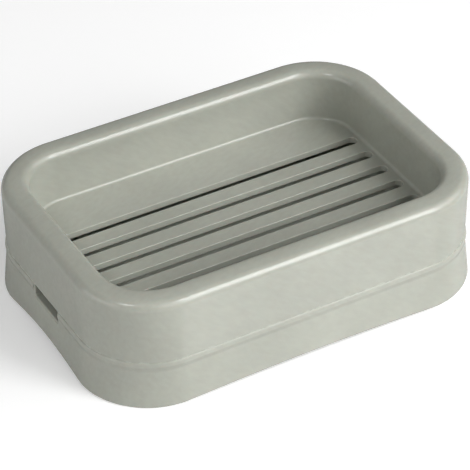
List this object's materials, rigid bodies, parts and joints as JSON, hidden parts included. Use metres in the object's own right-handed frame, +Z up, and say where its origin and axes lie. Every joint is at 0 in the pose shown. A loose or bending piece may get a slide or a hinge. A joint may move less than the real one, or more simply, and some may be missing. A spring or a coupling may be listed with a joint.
{
  "type": "travel soap dish",
  "caption": "Rounded rectangular soap dish: a slotted drain tray with a wide rolled rim on a flared drip base with arched edges and end outlets.",
  "frame": {"origin": "on the table, at the middle of the dish seen from above", "axes": "+X along the dish's length, +Y across it, +Z up out of the tray"},
  "size_m": [0.1222, 0.0862, 0.0346],
  "materials": {
    "tray_plastic": "soft gloss sage green moulding",
    "base_plastic": "soft gloss sage green moulding"
  },
  "bodies": {
    "root": {"drain_tray": "tray_plastic", "base": "base_plastic"}
  },
  "joints": []
}
